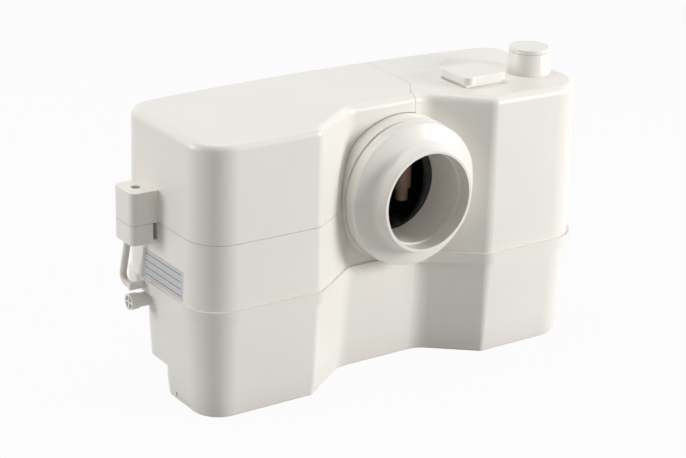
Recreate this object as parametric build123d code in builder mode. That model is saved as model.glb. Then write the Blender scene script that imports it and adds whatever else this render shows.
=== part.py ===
"""Macerator toilet pump: a moulded box with a tank, a dry motor room and a wet inlet chamber.

Millimetres. The box stands on Z = 0, its wall side faces +Y and its toilet inlet faces -Y.
X = 0 is the middle of its width. Seen from the front, +X is to the right.
"""

import os
from math import atan, cos, degrees, radians, sin

from build123d import *

# The box in plan: two lobes reach forward, and a recess lies between them.
box_width = 452.0
left_front = -70.0
right_front = -72.0
recess_front = -30.0
rear_face = 96.0
left_lobe_end = -97.5
recess_left = -40.0
recess_right = 48.0
right_lobe_start = 99.5
rear_corner = 30.0
left_corner = 38.0
right_corner = 45.0
lobe_corner = 16.0
recess_corner = 16.0

# Heights of the box.
box_height = 269.0
crown_rise = 8.0
flange_low = 98.5
parting_height = 104.4
ledge_height = 110.3
seam_height = 174.2

# Skins, draft and the small gaps that moving and separate pieces keep.
wall = 3.0
seam_gap = 0.4
slip = 0.25
running = 0.05
tank_top_inset = 3.9
tank_foot_inset = 9.3
hood_inset = 2.9
hood_top_inset = 4.5
top_round = 8.0
overrun = 30.0

# The tank's rear steps forward twice, to leave room for skirting and pipes.
waist_rear = 63.0
foot_rear = 33.0
waist_height = 32.0
plinth_height = 12.5
plinth_step = 0.7
foot_round = 3.0

# The toilet inlet.
inlet_x = 17.4
inlet_z = 182.0
inlet_mouth_y = -77.6
inlet_bore = 47.7
collar_radius = 71.7

# The pump and motor, on one upright shaft under the left lobe.
motor_x = -148.0
motor_y = -12.0
deck_low = 150.0
deck_thickness = 4.0
shaft_radius = 6.0

# The discharge, which rises through the top at the right.
port_x = 188.0
port_y = -8.0
run_height = 48.0
pipe_radius = 11.0
pipe_wall = 2.0

half_width = box_width / 2
deck_top = deck_low + deck_thickness
tank_draft = degrees(atan((tank_foot_inset - tank_top_inset) / flange_low))
hood_rise = box_height + crown_rise + top_round - ledge_height
hood_draft = degrees(atan((hood_top_inset - hood_inset) / (box_height - ledge_height)))


def save(piece, name):
    """Label a finished piece and write it as one STEP file."""
    piece.label = name
    export_step(piece, f"parts/{name}.step")


def plan(height, inset, rear=rear_face):
    """Sketch the box's outline at a height, moved inwards by an inset."""
    corners = [
        ((-half_width, rear), rear_corner),
        ((-half_width, left_front), left_corner),
        ((left_lobe_end, left_front), lobe_corner),
        ((recess_left, recess_front), recess_corner),
        ((recess_right, recess_front), recess_corner),
        ((right_lobe_start, right_front), lobe_corner),
        ((half_width, right_front), right_corner),
        ((half_width, rear), rear_corner),
    ]
    with BuildSketch(Plane.XY.offset(height)) as outline:
        with BuildLine():
            FilletPolyline(*[point for point, _ in corners], radius=[r for _, r in corners], close=True)
        make_face()
        if inset:
            offset(amount=-inset, kind=Kind.INTERSECTION)
    return outline.sketch


def block(low, high):
    """Box between its lowest and highest corners, for cuts and ribs made outside a part."""
    size = [b - a for a, b in zip(low, high)]
    return Pos(*low) * Box(*size, align=(Align.MIN, Align.MIN, Align.MIN), mode=Mode.PRIVATE)


def disc(x, y, height, radius):
    """Sketch a circle in plan at a height."""
    with BuildSketch(Plane.XY.offset(height)) as circle:
        with Locations((x, y)):
            Circle(radius)
    return circle.sketch


def facing(x, z, place, radius):
    """Sketch a circle that faces the front, at a place along Y; it extrudes towards -Y."""
    with BuildSketch(Plane.XZ.offset(-place)) as circle:
        with Locations((x, z)):
            Circle(radius)
    return circle.sketch


def sideways(y, z, place, radius):
    """Sketch a circle that faces the right, at a place along X; it extrudes towards +X."""
    with BuildSketch(Plane.YZ.offset(place)) as circle:
        with Locations((y, z)):
            Circle(radius)
    return circle.sketch


def tank_inset(height):
    """How far the tank's drafted wall lies inside the flange's outline."""
    return tank_foot_inset + (tank_top_inset - tank_foot_inset) * height / flange_low


def crown(depth):
    """Block whose top is straight along the front and arched along the rear."""
    reach = half_width + overrun
    top = box_height - depth
    with BuildPart() as blank:
        for place, rise in ((right_front - overrun, 0), (rear_face + overrun, crown_rise)):
            with BuildSketch(Plane.XZ.offset(-place)):
                with BuildLine():
                    Polyline((-reach, top), (-reach, flange_low), (reach, flange_low), (reach, top))
                    if rise:
                        ThreePointArc((reach, top), (0, top + rise), (-reach, top))
                    else:
                        Line((reach, top), (-reach, top))
                make_face()
        loft(ruled=True)
    return blank.part


def hood(depth):
    """Everything under the hood's outer skin, moved inwards by a depth."""
    with BuildPart() as form:
        extrude(plan(ledge_height, hood_inset + depth), amount=hood_rise, taper=hood_draft)
        add(crown(depth), mode=Mode.INTERSECT)
        fillet(form.faces().sort_by(Axis.Z)[-1].edges(), radius=top_round - depth)
    return form.part


os.makedirs("parts", exist_ok=True)

hood_outside = hood(0)
hood_inside = hood(wall)

# Tank: the lower moulding, open at the top, with the flange that the casing stands on.
floor_height = wall
slot_length = 30.0
slot_height = 4.0
slot_depth = 1.6
slot_y = -16.0
slot_low = 4.5
drain_y = 44.0
drain_z = 90.0
drain_boss_radius = 7.0
drain_bore_radius = 4.0
drain_boss_out = -233.0
drain_boss_in = -214.0
waist_rear_point = waist_rear + tank_top_inset
foot_rear_point = foot_rear + tank_top_inset
waist_floor = waist_height + wall
screw_places = [share * half_width for share in (-0.7, -0.35, 0, 0.35, 0.7)]
screw_y = 85.0
screw_hole = 2.6

with BuildPart() as tank:
    extrude(plan(0, tank_foot_inset + plinth_step, foot_rear_point), amount=plinth_height, taper=-tank_draft)
    fillet(tank.faces().sort_by(Axis.Z)[0].edges(), radius=foot_round)
    extrude(plan(plinth_height, tank_inset(plinth_height), foot_rear_point),
            amount=flange_low - plinth_height, taper=-tank_draft)
    extrude(plan(waist_height, tank_inset(waist_height), waist_rear_point),
            amount=flange_low - waist_height, taper=-tank_draft)
    extrude(plan(flange_low, 0), amount=parting_height - flange_low)
    extrude(sideways(drain_y, drain_z, drain_boss_out, drain_boss_radius),
            amount=drain_boss_in - drain_boss_out)
    extrude(plan(floor_height, tank_inset(floor_height) + wall, foot_rear_point),
            amount=flange_low - floor_height, taper=-tank_draft, mode=Mode.SUBTRACT)
    extrude(plan(waist_floor, tank_inset(waist_floor) + wall, waist_rear_point),
            amount=flange_low - waist_floor, taper=-tank_draft, mode=Mode.SUBTRACT)
    extrude(plan(flange_low, tank_top_inset + wall, waist_rear_point),
            amount=parting_height - flange_low, mode=Mode.SUBTRACT)
    extrude(sideways(drain_y, drain_z, drain_boss_out, drain_bore_radius),
            amount=drain_boss_in - drain_boss_out, mode=Mode.SUBTRACT)
    for side in (-1, 1):
        skin = half_width - tank_inset(slot_low)
        add(block((min(side * skin - slot_depth, side * (skin + overrun)), slot_y - slot_length / 2, slot_low),
                  (max(side * skin + slot_depth, side * (skin + overrun)), slot_y + slot_length / 2,
                   slot_low + slot_height)), mode=Mode.SUBTRACT)
    for x in screw_places:
        extrude(disc(x, screw_y, flange_low, screw_hole), amount=parting_height - flange_low, mode=Mode.SUBTRACT)
save(tank.part, "tank")

# Gasket: a flat rubber ring between the tank's flange and the casing.
gasket_height = 1.0
gasket_inset = 3.4
gasket_width = 1.8

with BuildPart() as tank_gasket:
    extrude(plan(parting_height, gasket_inset), amount=gasket_height)
    extrude(plan(parting_height, gasket_inset + gasket_width), amount=gasket_height, mode=Mode.SUBTRACT)
save(tank_gasket.part, "tank_gasket")

# Where the motor cover meets the casing: the seam across the top bends forward to the inlet.
seam_x = 53.0
seam_front_x = 35.5
seam_bend_rear = 9.0
seam_bend_front = -17.0
collar_foot_radius = 74.0
notch_gap = 0.6
notch_rear = -15.0


def cover_zone(gap):
    """Space that the motor cover fills, kept back from its seam by a gap."""
    front = right_front - overrun
    rear = rear_face + overrun
    edge = -half_width - overrun
    with BuildPart() as zone:
        with BuildSketch(Plane.XY.offset(seam_height + gap)):
            with BuildLine():
                Polyline((edge, rear), (edge, front), (seam_front_x - gap, front),
                         (seam_front_x - gap, seam_bend_front), (seam_x - gap, seam_bend_rear),
                         (seam_x - gap, rear), close=True)
            make_face()
        extrude(amount=box_height)
        extrude(facing(inlet_x, inlet_z, notch_rear, collar_foot_radius + gap * notch_gap / seam_gap),
                amount=notch_rear - front, mode=Mode.SUBTRACT)
    return zone.part


# Inlet chamber: the wet room behind the inlet, closed towards the motor.
chamber_left = -68.0
chamber_right = seam_x + wall
chamber_front = -22.2
chamber_rear = 87.5
chamber_top = 241.0
seat_y = -28.2
step_bore = 46.2
lug_left = -250.0
lug_front = 20.0
lug_rear = 57.0
lug_low = 155.0
lug_top = 206.0
lug_round = 7.0
lug_slit = 1.8
lug_slit_depth = 12.0
lug_hole = 4.6
lug_x = -236.0
lug_y = 38.0
lug_screw = 2.6
boss_radius = 6.6
boss_height = 20.0
gland_x = -172.0
gland_z = 163.0
gland_hole = 8.2
plate_front = -27.0
plate_rear = 49.0
plate_low = 111.5
plate_high = 140.5
plate_sink = 0.5
plate_thickness = 0.4
hatch_left = 91.0
hatch_right = 142.0
hatch_front = -31.0
hatch_rear = 14.0
hatch_top = 282.0
hatch_low = 274.8
hatch_plinth = 274.4
hatch_undercut = 3.5
well_wall = 2.0
well_low = 248.0
well_margin = 8.0
port_hole = 23.25
port_boss_low = 254.0
port_lip = 2.5
port_lip_radius = 18.0
port_body_radius = 23.0
bolt_circle = 29.0
bolt_shank = 2.4
bolt_places = [(motor_x + bolt_circle * cos(radians(turn)), motor_y + bolt_circle * sin(radians(turn)), 0)
               for turn in (45, 135, 225, 315)]
crown_top = box_height + crown_rise


def inside(low, high):
    """The part of the hood's inner space that lies in a box."""
    with BuildPart() as piece:
        add(hood_inside)
        add(block(low, high), mode=Mode.INTERSECT)
    return piece.part


def lug(low, high):
    """One half of the screw lug on the left end, with its outer corners rounded."""
    with BuildPart() as ear:
        with BuildSketch(Plane.XY.offset(low)):
            with BuildLine():
                Polyline((lug_left, lug_front), (-half_width + hood_inset + wall, lug_front),
                         (-half_width + hood_inset + wall, lug_rear), (lug_left, lug_rear), close=True)
            make_face()
        extrude(amount=high - low)
        fillet(ear.edges().filter_by(Axis.Z).group_by(Axis.X)[0], radius=lug_round)
        add(hood_inside, mode=Mode.SUBTRACT)
    return ear.part


well_left = hatch_left + well_margin
well_right = hatch_right - well_margin
well_front = hatch_front + well_margin
well_rear = hatch_rear - well_margin

with BuildPart() as collar_seat:
    extrude(facing(inlet_x, inlet_z, chamber_front + wall, collar_foot_radius), amount=chamber_front + wall - seat_y)
    add(block((chamber_left, seat_y, deck_low - overrun), (chamber_right, chamber_front + wall, crown_top)),
        mode=Mode.INTERSECT)

with BuildPart() as throat:
    extrude(facing(inlet_x, inlet_z, chamber_front + wall, step_bore + wall),
            amount=chamber_front + wall - right_front)
    add(hood_inside, mode=Mode.INTERSECT)

with BuildPart() as casing:
    add(hood_outside)
    add(hood_inside, mode=Mode.SUBTRACT)
    add(cover_zone(0), mode=Mode.SUBTRACT)
    extrude(plan(parting_height, 0), amount=ledge_height - parting_height)
    extrude(plan(parting_height, hood_inset + wall), amount=ledge_height - parting_height, mode=Mode.SUBTRACT)
    add(inside((-half_width, right_front, deck_low), (chamber_left + wall, rear_face, deck_top)))
    add(block((chamber_left, chamber_front, deck_low), (chamber_right, chamber_rear, chamber_top)))
    add(inside((seam_x, right_front, deck_low), (chamber_right, chamber_front + wall, crown_top)))
    add(inside((seam_x, right_front, chamber_top - wall), (chamber_right, rear_face, crown_top)))
    add(collar_seat.part)
    add(throat.part)
    add(block((chamber_left + wall, chamber_front + wall, deck_low),
              (chamber_right, chamber_rear - wall, chamber_top - wall)), mode=Mode.SUBTRACT)
    extrude(facing(inlet_x, inlet_z, chamber_front + wall, step_bore),
            amount=chamber_front + wall - right_front, mode=Mode.SUBTRACT)
    add(lug(lug_low, seam_height))
    add(block((-half_width - lug_slit, lug_front, lug_low + wall),
              (-half_width + hood_inset, lug_front + lug_slit_depth, seam_height)), mode=Mode.SUBTRACT)
    extrude(disc(lug_x, lug_y, lug_low + wall, lug_screw), amount=seam_height - lug_low, mode=Mode.SUBTRACT)
    for x in screw_places:
        extrude(disc(x, screw_y, parting_height, boss_radius), amount=boss_height)
        extrude(disc(x, screw_y, parting_height, screw_hole), amount=boss_height - wall, mode=Mode.SUBTRACT)
    add(tank_gasket.part, mode=Mode.SUBTRACT)
    extrude(disc(motor_x, motor_y, deck_low, shaft_radius + wall), amount=deck_thickness, mode=Mode.SUBTRACT)
    for x, y, _ in bolt_places:
        extrude(disc(x, y, deck_low, bolt_shank + slip), amount=deck_thickness, mode=Mode.SUBTRACT)
    extrude(facing(gland_x, gland_z, rear_face, gland_hole), amount=wall + overrun, mode=Mode.SUBTRACT)
    add(block((-half_width, plate_front - slip, plate_low - slip),
              (-half_width + hood_inset + plate_sink, plate_rear + slip, plate_high + slip)), mode=Mode.SUBTRACT)
    add(block((hatch_left + hatch_undercut, hatch_front + hatch_undercut, box_height - wall),
              (hatch_right - hatch_undercut, hatch_rear - hatch_undercut, hatch_plinth)))
    add(block((well_left - well_wall, well_front - well_wall, well_low),
              (well_right + well_wall, well_rear + well_wall, hatch_plinth)))
    add(block((well_left, well_front, well_low + well_wall), (well_right, well_rear, hatch_plinth)),
        mode=Mode.SUBTRACT)
    add(block((well_left + well_wall, well_front + well_wall, well_low),
              (well_right - well_wall, well_rear - well_wall, hatch_plinth)), mode=Mode.SUBTRACT)
    extrude(disc(port_x, port_y, port_boss_low, port_hole + wall), amount=box_height - port_boss_low)
    extrude(disc(port_x, port_y, port_boss_low + port_lip, port_hole), amount=crown_top, mode=Mode.SUBTRACT)
    extrude(disc(port_x, port_y, port_boss_low, port_lip_radius), amount=crown_top, mode=Mode.SUBTRACT)
save(casing.part, "casing")

with BuildPart() as motor_cover:
    add(hood_outside)
    add(hood_inside, mode=Mode.SUBTRACT)
    add(cover_zone(seam_gap), mode=Mode.INTERSECT)
    add(lug(seam_height + seam_gap, lug_top))
    extrude(disc(lug_x, lug_y, seam_height, lug_screw + slip), amount=lug_top - seam_height, mode=Mode.SUBTRACT)
    extrude(disc(lug_x, lug_y, seam_height + wall + wall, lug_hole), amount=lug_top, mode=Mode.SUBTRACT)
save(motor_cover.part, "motor_cover")


def ring(x, y, low, high, outer, inner=0.0):
    """Upright round solid, with a hole where an inner radius is given."""
    with BuildPart() as piece:
        extrude(disc(x, y, low, outer), amount=high - low)
        if inner:
            extrude(disc(x, y, low, inner), amount=high - low, mode=Mode.SUBTRACT)
    return piece.part


def at_places(places, shape):
    """Copies of one piece, each moved to its own place, as separate solids in one compound."""
    with BuildPart() as group:
        for place in places:
            add(Pos(*place) * shape)
    return group.part


def upright_screw(head_low, head_height, head_radius, length, radius, socket=0.0):
    """Screw that stands on its head, driven upwards, with a round drive socket below."""
    with BuildPart() as screw:
        extrude(disc(0, 0, head_low, head_radius), amount=head_height)
        extrude(disc(0, 0, head_low + head_height, radius), amount=length)
        if socket:
            extrude(disc(0, 0, head_low, socket), amount=head_height / 2, mode=Mode.SUBTRACT)
    return screw.part


# Cover gasket: a rubber strip on the casing's deck edge, under the motor cover's front and left walls.
strip_height = 2.0
strip_width = 2.2

with BuildPart() as cover_gasket:
    add(inside((-half_width, right_front, deck_top), (chamber_left, rear_face, deck_top + strip_height)))
    extrude(plan(deck_top, hood_inset + wall + wall + strip_width), amount=strip_height, mode=Mode.SUBTRACT)
    add(block((chamber_left - wall, right_front, deck_top),
              (chamber_right, rear_face, deck_top + strip_height)), mode=Mode.SUBTRACT)
save(cover_gasket.part, "cover_gasket")

# Cover screw: one long screw stands in the lug and holds the motor cover down.
screw_head_radius = 4.1
screw_head_height = 3.2
screw_shank = 2.45
screw_socket = 1.6
screw_end = lug_low + wall + slip
screw_seat = seam_height + wall + wall

with BuildPart() as cover_screw:
    extrude(disc(lug_x, lug_y, screw_end, screw_shank), amount=screw_seat - screw_end)
    extrude(disc(lug_x, lug_y, screw_seat, screw_head_radius), amount=screw_head_height)
    with BuildSketch(Plane.XY.offset(screw_seat + screw_head_height / 2)):
        with Locations((lug_x, lug_y)):
            RegularPolygon(screw_socket, 6)
    extrude(amount=screw_head_height, mode=Mode.SUBTRACT)
save(cover_screw.part, "cover_screw")

# Tank screws: driven up through the flange's rear shelf into the casing's bosses.
tank_head_radius = 4.5
tank_head_height = 2.8
tank_shank = 2.3
tank_screw_reach = parting_height - flange_low + boss_height - wall - wall

tank_screw = upright_screw(flange_low - tank_head_height, tank_head_height, tank_head_radius,
                           tank_screw_reach, tank_shank, screw_socket)
tank_screws = at_places([(x, screw_y, 0) for x in screw_places], tank_screw)
save(tank_screws, "tank_screws")

# Rating plate: a blank sticker in a shallow recess of the left end.
with BuildPart() as rating_plate:
    add(block((-half_width + hood_inset + plate_sink - plate_thickness, plate_front, plate_low),
              (-half_width + hood_inset + plate_sink, plate_rear, plate_high)))
    fillet(rating_plate.edges().filter_by(Axis.X), radius=plate_thickness + plate_thickness)
save(rating_plate.part, "rating_plate")

# Inlet collar: a hollow moulding with a plain bore, a flared face and two bands.
lip_radius = 51.2
neck_radius = 53.2
neck_depth = 14.0
band_depth = 23.0
band_width = 13.4
groove_width = 1.2
groove_depth = 0.9
rear_band_radius = 73.2
bore_depth = 16.1
collar_skin = 3.0
neck_round = 9.0
lip_round = 1.2
band_round = 1.6
collar_gap = 0.3

with BuildPart() as inlet_collar:
    with BuildSketch(Plane.XY.offset(inlet_z)):
        with BuildLine():
            Polyline(
                (inlet_x + inlet_bore, inlet_mouth_y),
                (inlet_x + lip_radius, inlet_mouth_y),
                (inlet_x + neck_radius, inlet_mouth_y + neck_depth),
                (inlet_x + collar_radius, inlet_mouth_y + band_depth),
                (inlet_x + collar_radius, inlet_mouth_y + band_depth + band_width),
                (inlet_x + collar_radius - groove_depth, inlet_mouth_y + band_depth + band_width),
                (inlet_x + collar_radius - groove_depth, inlet_mouth_y + band_depth + band_width + groove_width),
                (inlet_x + rear_band_radius, inlet_mouth_y + band_depth + band_width + groove_width),
                (inlet_x + collar_foot_radius - collar_gap, seat_y),
                (inlet_x + collar_foot_radius - collar_gap - collar_skin, seat_y),
                (inlet_x + collar_radius - groove_depth - collar_skin, inlet_mouth_y + band_depth + collar_skin),
                (inlet_x + neck_radius + collar_skin, inlet_mouth_y + neck_depth + collar_skin),
                (inlet_x + step_bore + collar_skin, seat_y),
                (inlet_x + step_bore, seat_y),
                (inlet_x + step_bore, inlet_mouth_y + bore_depth),
                (inlet_x + inlet_bore, inlet_mouth_y + bore_depth),
                close=True)
        make_face()
    revolve(axis=Axis((inlet_x, 0, inlet_z), (0, 1, 0)))
    circles = inlet_collar.edges().filter_by(GeomType.CIRCLE)
    fillet(circles.filter_by(lambda e: abs(e.radius - neck_radius) < running), radius=neck_round)
    circles = inlet_collar.edges().filter_by(GeomType.CIRCLE)
    fillet(circles.filter_by(lambda e: abs(e.radius - lip_radius) < running), radius=lip_round)
    circles = inlet_collar.edges().filter_by(GeomType.CIRCLE)
    front_rim = circles.filter_by(lambda e: abs(e.radius - collar_radius) < running).sort_by(Axis.Y)[0]
    fillet(front_rim, radius=band_round)
    add(hood_outside, mode=Mode.SUBTRACT)
    add(casing.part, mode=Mode.SUBTRACT)
save(inlet_collar.part.solids().sort_by(SortBy.VOLUME)[-1], "inlet_collar")

# Inlet gasket: a black rubber plate with an oval opening, behind the collar's bore.
gasket_front = chamber_front + wall
gasket_plate = 4.0
gasket_radius = 54.0
opening_width = 78.0
opening_height = 88.0
opening_drop = 2.0

with BuildPart() as inlet_gasket:
    extrude(facing(inlet_x, inlet_z, gasket_front + gasket_plate, gasket_radius), amount=gasket_plate)
    with BuildSketch(Plane.XZ.offset(-gasket_front - gasket_plate)):
        with Locations((inlet_x, inlet_z - opening_drop)):
            Ellipse(opening_width / 2, opening_height / 2)
    extrude(amount=gasket_plate, mode=Mode.SUBTRACT)
save(inlet_gasket.part, "inlet_gasket")

# Splash hood: a black U-shaped baffle that hangs in the chamber behind the inlet.
hood_radius = 58.0
hood_skin = 2.0
hood_reach = 46.0
hood_low = 118.0
hood_centre_x = inlet_x + hood_skin + hood_skin
hood_front = gasket_front + gasket_plate + slip

with BuildPart() as splash_hood:
    with BuildSketch(Plane.XY.offset(hood_low)):
        with BuildLine():
            FilletPolyline((hood_centre_x - hood_radius, hood_front), (hood_centre_x + hood_radius, hood_front),
                           (hood_centre_x + hood_radius, hood_front + hood_reach + hood_reach),
                           (hood_centre_x - hood_radius, hood_front + hood_reach + hood_reach),
                           radius=[0, hood_reach, hood_reach, 0], close=True)
        make_face()
    extrude(amount=chamber_top - wall - hood_low)
    with BuildSketch(Plane.XY.offset(hood_low)):
        with BuildLine():
            FilletPolyline((hood_centre_x - hood_radius + hood_skin, hood_front - hood_skin),
                           (hood_centre_x + hood_radius - hood_skin, hood_front - hood_skin),
                           (hood_centre_x + hood_radius - hood_skin,
                            hood_front + hood_reach + hood_reach - hood_skin),
                           (hood_centre_x - hood_radius + hood_skin,
                            hood_front + hood_reach + hood_reach - hood_skin),
                           radius=[0, hood_reach - hood_skin, hood_reach - hood_skin, 0], close=True)
        make_face()
    extrude(amount=chamber_top - wall - hood_low - hood_skin, mode=Mode.SUBTRACT)
    add(casing.part, mode=Mode.SUBTRACT)
save(splash_hood.part.solids().sort_by(SortBy.VOLUME)[-1], "splash_hood")

# Level tube: the air bell that senses the water, hung from the chamber's roof.
tube_x = 38.0
tube_y = -4.0
tube_radius = 9.0
tube_tip_radius = 6.5
tube_skin = 1.6
tube_low = 159.0
tube_shoulder = 172.0
tube_high = chamber_top - wall - hood_skin

with BuildPart() as level_tube:
    extrude(disc(tube_x, tube_y, tube_low, tube_tip_radius), amount=tube_shoulder - tube_low)
    extrude(disc(tube_x, tube_y, tube_shoulder, tube_radius), amount=tube_high - tube_shoulder)
    extrude(disc(tube_x, tube_y, tube_low, tube_tip_radius - tube_skin),
            amount=tube_high - tube_skin - tube_low, mode=Mode.SUBTRACT)
save(level_tube.part, "level_tube")

# Pressure switch: a round diaphragm switch on the chamber's roof, right above the level tube.
switch_radius = 12.0
switch_height = 9.0
switch_neck = 5.0

with BuildPart() as pressure_switch:
    extrude(disc(tube_x, tube_y, chamber_top, switch_radius), amount=switch_height)
    extrude(disc(tube_x, tube_y, chamber_top + switch_height, switch_neck), amount=switch_neck)
    fillet(pressure_switch.edges().filter_by(GeomType.CIRCLE).group_by(Axis.Z)[1][-1:], radius=tube_skin)
save(pressure_switch.part, "pressure_switch")

# Discharge: pump outlet, pipe along the tank, non-return valve, riser and capped socket.
pipe_bore = pipe_radius - pipe_wall
pipe_start = -100.0
pipe_end_height = 150.0
bend_radius = 36.0

with BuildPart() as discharge_pipe:
    with BuildLine() as pipe_line:
        FilletPolyline((pipe_start, port_y, run_height), (port_x, port_y, run_height),
                       (port_x, port_y, pipe_end_height), radius=bend_radius)
    with BuildSketch(Plane.YZ.offset(pipe_start)):
        with Locations((port_y, run_height)):
            Circle(pipe_radius)
            Circle(pipe_bore, mode=Mode.SUBTRACT)
    sweep(path=pipe_line.line)
save(discharge_pipe.part, "discharge_pipe")

# Non-return valve: a seat, a hinged flap and a wide room above it.
neck_top = pipe_end_height + 16.0
valve_radius = 25.0
valve_room = 22.0
valve_seat_thickness = 4.0
valve_flange_low = 202.0
valve_flange_top = 206.0
valve_flange_radius = 30.5
flap_radius = 15.0
flap_thickness = 2.6
flap_gap = 0.15
pin_x = port_x - 18.6
pin_radius = 1.5
pin_half = 9.0
valve_floor = neck_top + valve_seat_thickness
pin_height = valve_floor + flap_gap + flap_thickness / 2 + pin_radius / 2
valve_screw_radius = 27.6
valve_screw_shank = 1.7
valve_head_radius = 2.6
valve_head_height = 2.0
riser_radius = 16.0
riser_bore = 13.0
riser_flange = 4.0
riser_top = 268.0
valve_places = [(port_x + valve_screw_radius * cos(radians(turn)),
                 port_y + valve_screw_radius * sin(radians(turn)), 0) for turn in (45, 135, 225, 315)]
lug_half = 3.0
lug_stand = 3.4


def valve_holes(low, high):
    """Screw holes of the valve's flanges."""
    for x, y, _ in valve_places:
        extrude(disc(x, y, low, valve_screw_shank + slip), amount=high - low, mode=Mode.SUBTRACT)


with BuildPart() as valve_body:
    extrude(disc(port_x, port_y, pipe_end_height, pipe_radius), amount=neck_top - pipe_end_height)
    extrude(disc(port_x, port_y, neck_top, valve_radius), amount=valve_flange_low - neck_top)
    extrude(disc(port_x, port_y, valve_flange_low, valve_flange_radius), amount=valve_flange_top - valve_flange_low)
    extrude(disc(port_x, port_y, pipe_end_height, pipe_bore), amount=valve_floor - pipe_end_height,
            mode=Mode.SUBTRACT)
    extrude(disc(port_x, port_y, valve_floor, valve_room), amount=valve_flange_top - valve_floor,
            mode=Mode.SUBTRACT)
    for side in (-1, 1):
        middle = port_y + side * (pin_half - lug_half / 2)
        add(block((pin_x - lug_half, middle - lug_half / 2, valve_floor - flap_gap),
                  (pin_x + lug_half, middle + lug_half / 2, pin_height + lug_stand)))
    extrude(facing(pin_x, pin_height, port_y + pin_half, pin_radius), amount=pin_half * 2, mode=Mode.SUBTRACT)
    valve_holes(valve_flange_low, valve_flange_top)
save(valve_body.part, "valve_body")

with BuildPart() as flap_pin:
    extrude(facing(pin_x, pin_height, port_y + pin_half, pin_radius), amount=pin_half * 2)
save(flap_pin.part, "flap_pin")

flap_low = valve_floor + flap_gap
eye_radius = pin_height - flap_low - flap_gap
eye_half = pin_half - lug_half - slip
with BuildPart() as valve_flap:
    extrude(disc(port_x, port_y, flap_low, flap_radius), amount=flap_thickness)
    add(block((pin_x, port_y - eye_half, flap_low), (port_x, port_y + eye_half, flap_low + flap_thickness)))
    extrude(facing(pin_x, pin_height, port_y + eye_half, eye_radius), amount=eye_half * 2)
    extrude(facing(pin_x, pin_height, port_y + pin_half, pin_radius + running), amount=pin_half * 2,
            mode=Mode.SUBTRACT)
save(valve_flap.part, "valve_flap")

with BuildPart() as discharge_riser:
    extrude(disc(port_x, port_y, valve_flange_top, valve_flange_radius), amount=riser_flange)
    extrude(disc(port_x, port_y, valve_flange_top, riser_radius), amount=riser_top - valve_flange_top)
    extrude(disc(port_x, port_y, valve_flange_top, riser_bore), amount=riser_top - valve_flange_top,
            mode=Mode.SUBTRACT)
    valve_holes(valve_flange_top, valve_flange_top + riser_flange)
save(discharge_riser.part, "discharge_riser")

valve_screw = upright_screw(valve_flange_low - valve_head_height, valve_head_height, valve_head_radius,
                            valve_flange_top + riser_flange - valve_flange_low, valve_screw_shank)
save(at_places(valve_places, valve_screw), "valve_screws")

# Rubber sleeves and steel clips join the pipe to the pump's outlet and to the valve's neck.
sleeve_half = 12.0
sleeve_skin = 3.0
clip_width = 6.0
clip_skin = 1.2
clip_offset = 7.5
sleeve_radius = pipe_radius + sleeve_skin


def sleeve(outer, inner, low, high):
    """Tube along Z between two places, for sleeves and clips, before it is laid in place."""
    return ring(0, 0, low, high, outer, inner)


lying = Location((pipe_start, port_y, run_height), (0, 90, 0))
standing = Location((port_x, port_y, pipe_end_height))
one_sleeve = sleeve(sleeve_radius, pipe_radius, -sleeve_half, sleeve_half)
one_clip = sleeve(sleeve_radius + clip_skin, sleeve_radius, -clip_width / 2, clip_width / 2)
with BuildPart() as pipe_sleeves:
    add(lying * one_sleeve)
    add(standing * one_sleeve)
save(pipe_sleeves.part, "pipe_sleeves")

with BuildPart() as hose_clips:
    for spot in (lying, standing):
        for shift in (-clip_offset, clip_offset):
            add(spot * Pos(0, 0, shift) * one_clip)
save(hose_clips.part, "hose_clips")

# Discharge socket: the outside connector, with a taper and a stop shoulder for the riser.
socket_low = port_boss_low + port_lip
socket_body_top = box_height + wall
socket_top = 292.0
socket_top_radius = 20.4
socket_bore = riser_radius + running
cap_gap = 0.3
cap_top = 297.0
cap_plug_radius = 15.7
cap_plug_depth = 9.0
cap_bore = 12.5
cap_round = 1.2
port_taper = degrees(atan((port_body_radius - socket_top_radius) / (socket_top - socket_body_top)))

with BuildPart() as discharge_socket:
    extrude(disc(port_x, port_y, socket_low, port_body_radius), amount=socket_body_top - socket_low)
    extrude(disc(port_x, port_y, socket_body_top, port_body_radius), amount=socket_top - socket_body_top,
            taper=port_taper)
    extrude(disc(port_x, port_y, socket_low, socket_bore), amount=socket_top - socket_low, mode=Mode.SUBTRACT)
save(discharge_socket.part, "discharge_socket")

with BuildPart() as discharge_cap:
    extrude(disc(port_x, port_y, socket_top + cap_gap, socket_top_radius), amount=cap_top - socket_top - cap_gap)
    fillet(discharge_cap.edges().filter_by(GeomType.CIRCLE).sort_by(Axis.Z)[-1], radius=cap_round)
    extrude(disc(port_x, port_y, socket_top - cap_plug_depth, cap_plug_radius), amount=cap_plug_depth + cap_gap)
    extrude(disc(port_x, port_y, socket_top - cap_plug_depth, cap_bore), amount=cap_plug_depth, mode=Mode.SUBTRACT)
save(discharge_cap.part, "discharge_cap")

# Hatch: a lift-off cover with a finger tab at its front left corner, and the filter clipped under it.
hatch_round = 5.0
tab_radius = 7.0
filter_height = 20.0
filter_slip = 1.0

with BuildPart() as hatch_cover:
    add(block((hatch_left, hatch_front, hatch_low), (hatch_right, hatch_rear, hatch_top)))
    fillet(hatch_cover.edges().filter_by(Axis.Z), radius=hatch_round)
    extrude(disc(hatch_left + tab_radius, hatch_front + tab_radius - hatch_undercut / 2, hatch_low, tab_radius),
            amount=hatch_top - hatch_low)
    fillet(hatch_cover.faces().sort_by(Axis.Z)[-1].edges(), radius=slip * 3)
save(hatch_cover.part, "hatch_cover")

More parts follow.
